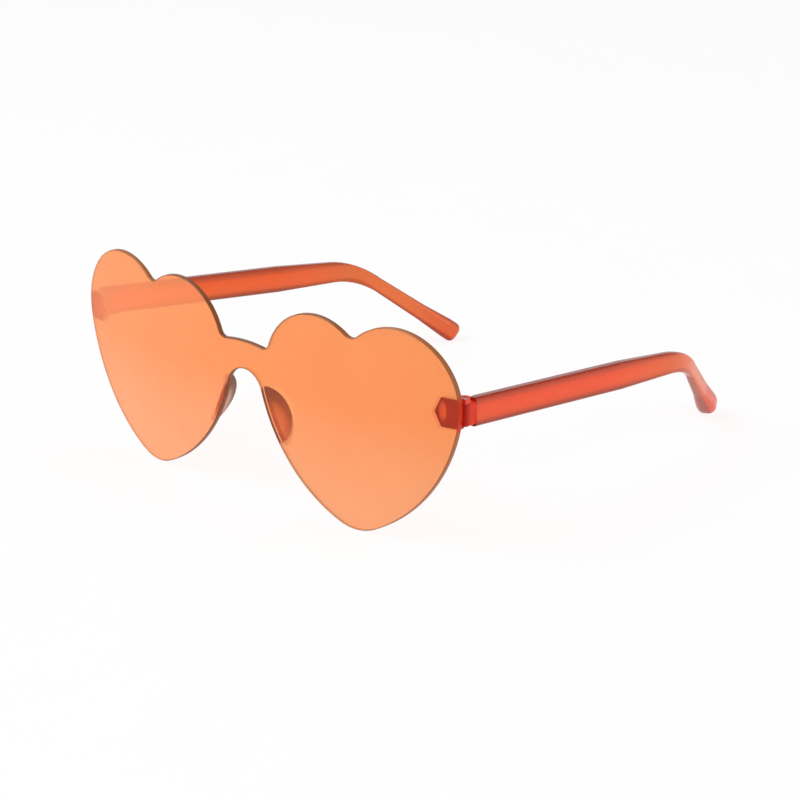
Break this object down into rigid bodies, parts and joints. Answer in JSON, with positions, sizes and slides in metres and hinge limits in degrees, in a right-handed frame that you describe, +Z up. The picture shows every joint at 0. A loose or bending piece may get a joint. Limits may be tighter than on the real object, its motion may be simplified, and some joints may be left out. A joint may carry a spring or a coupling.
{
  "type": "sunglasses",
  "caption": "Rimless heart shaped sunglasses: a curved tinted sheet lens with bonded endpieces and nose pads, and temples that fold in on slotted hinge screws.",
  "frame": {"origin": "on the surface that the open pair stands on, in the middle of its width and of its depth", "axes": "+X to the wearer's left, +Y from the lens back along the temples, +Z up; the lens faces -Y"},
  "size_m": [0.1492, 0.1434, 0.0595],
  "materials": {
    "lens": "polished translucent",
    "temple": "polished translucent",
    "endpiece": "polished translucent",
    "nose_pad": "polished translucent",
    "screw": "turned, bright"
  },
  "bodies": {
    "front": {"lens_shield": "lens", "left_endpiece": "endpiece", "right_endpiece": "endpiece", "left_nose_pad": "nose_pad", "right_nose_pad": "nose_pad", "left_hinge_screw": "screw", "right_hinge_screw": "screw"},
    "left_arm": {"left_temple": "temple"},
    "right_arm": {"right_temple": "temple"}
  },
  "joints": [
    {"name": "left_fold", "type": "hinge", "parent": "front", "child": "left_arm", "pos_m": [0.0702, -0.05876, 0.039], "axis": [0, 0, 1], "range_deg": [0, 84]},
    {"name": "right_fold", "type": "hinge", "parent": "front", "child": "right_arm", "pos_m": [-0.0702, -0.05876, 0.039], "axis": [0, 0, -1], "range_deg": [0, 76]}
  ]
}
